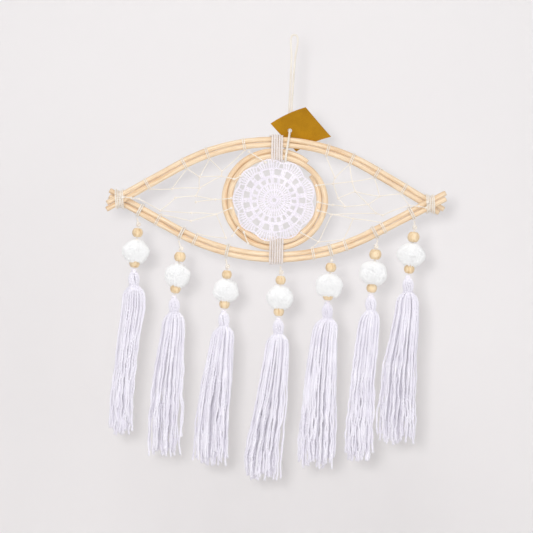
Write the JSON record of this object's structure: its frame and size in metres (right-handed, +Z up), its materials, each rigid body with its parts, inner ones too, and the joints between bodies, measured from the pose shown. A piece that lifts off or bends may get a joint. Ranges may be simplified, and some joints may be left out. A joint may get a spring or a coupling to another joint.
{
  "type": "dream catcher",
  "caption": "Eye-shaped hanging dream catcher: bent cane eye with knotted web, coiled cane iris, crochet doily pupil, card tag, and strands of wooden beads, pom-poms and cotton tassels.",
  "frame": {"origin": "where the hanging loop bears on its hook", "axes": "+Z up, the front of the eye faces -Y, +X to the viewer's right"},
  "size_m": [0.3411, 0.03, 0.4417],
  "materials": {
    "peeled_cane": "smooth peeled rattan, dry",
    "bead_wood": "turned pale wood, unvarnished",
    "crochet_cotton": "crochet cotton, matte",
    "web_thread": "thin cotton thread, matte",
    "cotton_cord": "twisted cotton cord, matte",
    "tassel_yarn": "two-ply cotton yarn, matte",
    "pompom_fibre": "cut fibre, fluffy",
    "mustard_card": "uncoated coloured card"
  },
  "bodies": {
    "cord_over_hook": {"hanging_cord": "cotton_cord"},
    "knot_under_cord": {"hanger_knot": "cotton_cord"},
    "frame": {"upper_outer_cane": "peeled_cane", "upper_inner_cane": "peeled_cane", "lower_outer_cane": "peeled_cane", "lower_inner_cane": "peeled_cane", "iris_ring": "peeled_cane", "doily": "crochet_cotton", "left_web": "web_thread", "right_web": "web_thread", "top_lashing": "cotton_cord", "bottom_lashing": "cotton_cord", "left_tip_lashing": "cotton_cord", "right_tip_lashing": "cotton_cord", "hanger_hitch": "cotton_cord", "strand_hitches": "cotton_cord"},
    "tag": {"hang_tag": "mustard_card"},
    "knot_1": {"strand_knot_1": "cotton_cord"},
    "strand_1": {"strand_cord_1": "cotton_cord"},
    "upper_bead_1_body": {"upper_bead_1": "bead_wood"},
    "pompom_1_body": {"pompom_1": "pompom_fibre"},
    "lower_bead_1_body": {"lower_bead_1": "bead_wood"},
    "tassel_1_body": {"tassel_1": "tassel_yarn"},
    "knot_2": {"strand_knot_2": "cotton_cord"},
    "strand_2": {"strand_cord_2": "cotton_cord"},
    "upper_bead_2_body": {"upper_bead_2": "bead_wood"},
    "pompom_2_body": {"pompom_2": "pompom_fibre"},
    "lower_bead_2_body": {"lower_bead_2": "bead_wood"},
    "tassel_2_body": {"tassel_2": "tassel_yarn"},
    "knot_3": {"strand_knot_3": "cotton_cord"},
    "strand_3": {"strand_cord_3": "cotton_cord"},
    "upper_bead_3_body": {"upper_bead_3": "bead_wood"},
    "pompom_3_body": {"pompom_3": "pompom_fibre"},
    "lower_bead_3_body": {"lower_bead_3": "bead_wood"},
    "tassel_3_body": {"tassel_3": "tassel_yarn"},
    "knot_4": {"strand_knot_4": "cotton_cord"},
    "strand_4": {"strand_cord_4": "cotton_cord"},
    "upper_bead_4_body": {"upper_bead_4": "bead_wood"},
    "pompom_4_body": {"pompom_4": "pompom_fibre"},
    "lower_bead_4_body": {"lower_bead_4": "bead_wood"},
    "tassel_4_body": {"tassel_4": "tassel_yarn"},
    "knot_5": {"strand_knot_5": "cotton_cord"},
    "strand_5": {"strand_cord_5": "cotton_cord"},
    "upper_bead_5_body": {"upper_bead_5": "bead_wood"},
    "pompom_5_body": {"pompom_5": "pompom_fibre"},
    "lower_bead_5_body": {"lower_bead_5": "bead_wood"},
    "tassel_5_body": {"tassel_5": "tassel_yarn"},
    "knot_6": {"strand_knot_6": "cotton_cord"},
    "strand_6": {"strand_cord_6": "cotton_cord"},
    "upper_bead_6_body": {"upper_bead_6": "bead_wood"},
    "pompom_6_body": {"pompom_6": "pompom_fibre"},
    "lower_bead_6_body": {"lower_bead_6": "bead_wood"},
    "tassel_6_body": {"tassel_6": "tassel_yarn"},
    "knot_7": {"strand_knot_7": "cotton_cord"},
    "strand_7": {"strand_cord_7": "cotton_cord"},
    "upper_bead_7_body": {"upper_bead_7": "bead_wood"},
    "pompom_7_body": {"pompom_7": "pompom_fibre"},
    "lower_bead_7_body": {"lower_bead_7": "bead_wood"},
    "tassel_7_body": {"tassel_7": "tassel_yarn"}
  },
  "joints": [
    {"name": "cord_sway", "type": "hinge", "parent": "cord_over_hook", "child": "knot_under_cord", "pos_m": [-0.0044, 0.002, -0.084], "axis": [0, 1, 0], "range_deg": [-25, 25]},
    {"name": "frame_nod", "type": "hinge", "parent": "knot_under_cord", "child": "frame", "pos_m": [-0.0044, 0.002, -0.084], "axis": [1, 0, 0], "range_deg": [-25, 25]},
    {"name": "tag_turn", "type": "hinge", "parent": "frame", "child": "tag", "pos_m": [-0.0045, 0.0026, -0.0943], "axis": [-0.0771, -0.9318, -0.3548], "range_deg": [-8, 8]},
    {"name": "strand_1_swing", "type": "hinge", "parent": "frame", "child": "knot_1", "pos_m": [-0.1576, 0.00265, -0.18182], "axis": [1, 0, 0], "range_deg": [-20, 20]},
    {"name": "strand_1_sway", "type": "hinge", "parent": "knot_1", "child": "strand_1", "pos_m": [-0.1563, 0.0026, -0.1882], "axis": [0, -1, 0], "range_deg": [-25, 4]},
    {"name": "upper_bead_1_turn", "type": "hinge", "parent": "strand_1", "child": "upper_bead_1_body", "pos_m": [-0.1571, 0.0026, -0.19656], "axis": [-0.0953, 0, -0.9954], "continuous": true},
    {"name": "pompom_1_turn", "type": "hinge", "parent": "strand_1", "child": "pompom_1_body", "pos_m": [-0.15895, 0.0026, -0.21587], "axis": [-0.0953, 0, -0.9954], "continuous": true},
    {"name": "lower_bead_1_turn", "type": "hinge", "parent": "strand_1", "child": "lower_bead_1_body", "pos_m": [-0.16004, 0.0026, -0.22722], "axis": [-0.0953, 0, -0.9954], "continuous": true},
    {"name": "tassel_1_swing", "type": "hinge", "parent": "strand_1", "child": "tassel_1_body", "pos_m": [-0.1608, 0.0026, -0.2352], "axis": [1, 0, 0], "range_deg": [-30, 30]},
    {"name": "strand_2_swing", "type": "hinge", "parent": "frame", "child": "knot_2", "pos_m": [-0.11588, 0.00185, -0.20483], "axis": [1, 0, 0], "range_deg": [-20, 20]},
    {"name": "strand_2_sway", "type": "hinge", "parent": "knot_2", "child": "strand_2", "pos_m": [-0.1134, 0.00179, -0.2125], "axis": [0, -1, 0], "range_deg": [-3, 3]},
    {"name": "upper_bead_2_turn", "type": "hinge", "parent": "strand_2", "child": "upper_bead_2_body", "pos_m": [-0.11458, 0.00179, -0.22082], "axis": [-0.1409, 0, -0.99], "continuous": true},
    {"name": "pompom_2_turn", "type": "hinge", "parent": "strand_2", "child": "pompom_2_body", "pos_m": [-0.11726, 0.00179, -0.23963], "axis": [-0.1409, 0, -0.99], "continuous": true},
    {"name": "lower_bead_2_turn", "type": "hinge", "parent": "strand_2", "child": "lower_bead_2_body", "pos_m": [-0.11913, 0.00179, -0.25279], "axis": [-0.1409, 0, -0.99], "continuous": true},
    {"name": "tassel_2_swing", "type": "hinge", "parent": "strand_2", "child": "tassel_2_body", "pos_m": [-0.1204, 0.00179, -0.2617], "axis": [1, 0, 0], "range_deg": [-30, 30]},
    {"name": "strand_3_swing", "type": "hinge", "parent": "frame", "child": "knot_3", "pos_m": [-0.06873, 0.00095, -0.22311], "axis": [1, 0, 0], "range_deg": [-20, 20]},
    {"name": "strand_3_sway", "type": "hinge", "parent": "knot_3", "child": "strand_3", "pos_m": [-0.0669, 0.00092, -0.2305], "axis": [0, -1, 0], "range_deg": [-3, 3]},
    {"name": "upper_bead_3_turn", "type": "hinge", "parent": "strand_3", "child": "upper_bead_3_body", "pos_m": [-0.06756, 0.00092, -0.23857], "axis": [-0.0811, 0, -0.9967], "continuous": true},
    {"name": "pompom_3_turn", "type": "hinge", "parent": "strand_3", "child": "pompom_3_body", "pos_m": [-0.06889, 0.00092, -0.25502], "axis": [-0.0811, 0, -0.9967], "continuous": true},
    {"name": "lower_bead_3_turn", "type": "hinge", "parent": "strand_3", "child": "lower_bead_3_body", "pos_m": [-0.06996, 0.00092, -0.26808], "axis": [-0.0811, 0, -0.9967], "continuous": true},
    {"name": "tassel_3_swing", "type": "hinge", "parent": "strand_3", "child": "tassel_3_body", "pos_m": [-0.0706, 0.00092, -0.276], "axis": [1, 0, 0], "range_deg": [-30, 30]},
    {"name": "strand_4_swing", "type": "hinge", "parent": "frame", "child": "knot_4", "pos_m": [-0.014, 0, -0.23015], "axis": [1, 0, 0], "range_deg": [-20, 20]},
    {"name": "strand_4_sway", "type": "hinge", "parent": "knot_4", "child": "strand_4", "pos_m": [-0.0133, -0.00009, -0.2363], "axis": [0, -1, 0], "range_deg": [-3, 3]},
    {"name": "upper_bead_4_turn", "type": "hinge", "parent": "strand_4", "child": "upper_bead_4_body", "pos_m": [-0.01377, -0.00009, -0.24419], "axis": [-0.0592, 0, -0.9982], "continuous": true},
    {"name": "pompom_4_turn", "type": "hinge", "parent": "strand_4", "child": "pompom_4_body", "pos_m": [-0.01482, -0.00009, -0.26195], "axis": [-0.0592, 0, -0.9982], "continuous": true},
    {"name": "lower_bead_4_turn", "type": "hinge", "parent": "strand_4", "child": "lower_bead_4_body", "pos_m": [-0.01563, -0.00009, -0.27553], "axis": [-0.0592, 0, -0.9982], "continuous": true},
    {"name": "tassel_4_swing", "type": "hinge", "parent": "strand_4", "child": "tassel_4_body", "pos_m": [-0.0161, -0.00009, -0.2835], "axis": [1, 0, 0], "range_deg": [-30, 30]},
    {"name": "strand_5_swing", "type": "hinge", "parent": "frame", "child": "knot_5", "pos_m": [0.03749, -0.00109, -0.22234], "axis": [1, 0, 0], "range_deg": [-20, 20]},
    {"name": "strand_5_sway", "type": "hinge", "parent": "knot_5", "child": "strand_5", "pos_m": [0.0371, -0.00106, -0.2248], "axis": [0, -1, 0], "range_deg": [-2.5, 2.5]},
    {"name": "upper_bead_5_turn", "type": "hinge", "parent": "strand_5", "child": "upper_bead_5_body", "pos_m": [0.03644, -0.00106, -0.23137], "axis": [-0.1002, 0, -0.995], "continuous": true},
    {"name": "pompom_5_turn", "type": "hinge", "parent": "strand_5", "child": "pompom_5_body", "pos_m": [0.03458, -0.00106, -0.24987], "axis": [-0.1002, 0, -0.995], "continuous": true},
    {"name": "lower_bead_5_turn", "type": "hinge", "parent": "strand_5", "child": "lower_bead_5_body", "pos_m": [0.03357, -0.00106, -0.25982], "axis": [-0.1002, 0, -0.995], "continuous": true},
    {"name": "tassel_5_swing", "type": "hinge", "parent": "strand_5", "child": "tassel_5_body", "pos_m": [0.0328, -0.00106, -0.2675], "axis": [1, 0, 0], "range_deg": [-30, 30]},
    {"name": "strand_6_swing", "type": "hinge", "parent": "frame", "child": "knot_6", "pos_m": [0.083, -0.00197, -0.20422], "axis": [1, 0, 0], "range_deg": [-20, 20]},
    {"name": "strand_6_sway", "type": "hinge", "parent": "knot_6", "child": "strand_6", "pos_m": [0.0816, -0.00191, -0.2107], "axis": [0, -1, 0], "range_deg": [-2, 2]},
    {"name": "upper_bead_6_turn", "type": "hinge", "parent": "strand_6", "child": "upper_bead_6_body", "pos_m": [0.08077, -0.00191, -0.21846], "axis": [-0.1069, 0, -0.9943], "continuous": true},
    {"name": "pompom_6_turn", "type": "hinge", "parent": "strand_6", "child": "pompom_6_body", "pos_m": [0.07873, -0.00191, -0.23745], "axis": [-0.1069, 0, -0.9943], "continuous": true},
    {"name": "lower_bead_6_turn", "type": "hinge", "parent": "strand_6", "child": "lower_bead_6_body", "pos_m": [0.07715, -0.00191, -0.25206], "axis": [-0.1069, 0, -0.9943], "continuous": true},
    {"name": "tassel_6_swing", "type": "hinge", "parent": "strand_6", "child": "tassel_6_body", "pos_m": [0.0763, -0.00191, -0.26], "axis": [1, 0, 0], "range_deg": [-30, 30]},
    {"name": "strand_7_swing", "type": "hinge", "parent": "frame", "child": "knot_7", "pos_m": [0.11979, -0.00267, -0.18538], "axis": [1, 0, 0], "range_deg": [-20, 20]},
    {"name": "strand_7_sway", "type": "hinge", "parent": "knot_7", "child": "strand_7", "pos_m": [0.1201, -0.00262, -0.1915], "axis": [0, -1, 0], "range_deg": [-2, 25]},
    {"name": "upper_bead_7_turn", "type": "hinge", "parent": "strand_7", "child": "upper_bead_7_body", "pos_m": [0.11881, -0.00262, -0.20111], "axis": [-0.1328, 0, -0.9911], "continuous": true},
    {"name": "pompom_7_turn", "type": "hinge", "parent": "strand_7", "child": "pompom_7_body", "pos_m": [0.11639, -0.00262, -0.21915], "axis": [-0.1328, 0, -0.9911], "continuous": true},
    {"name": "lower_bead_7_turn", "type": "hinge", "parent": "strand_7", "child": "lower_bead_7_body", "pos_m": [0.11453, -0.00262, -0.23303], "axis": [-0.1328, 0, -0.9911], "continuous": true},
    {"name": "tassel_7_swing", "type": "hinge", "parent": "strand_7", "child": "tassel_7_body", "pos_m": [0.1134, -0.00262, -0.2415], "axis": [1, 0, 0], "range_deg": [-30, 30]}
  ]
}
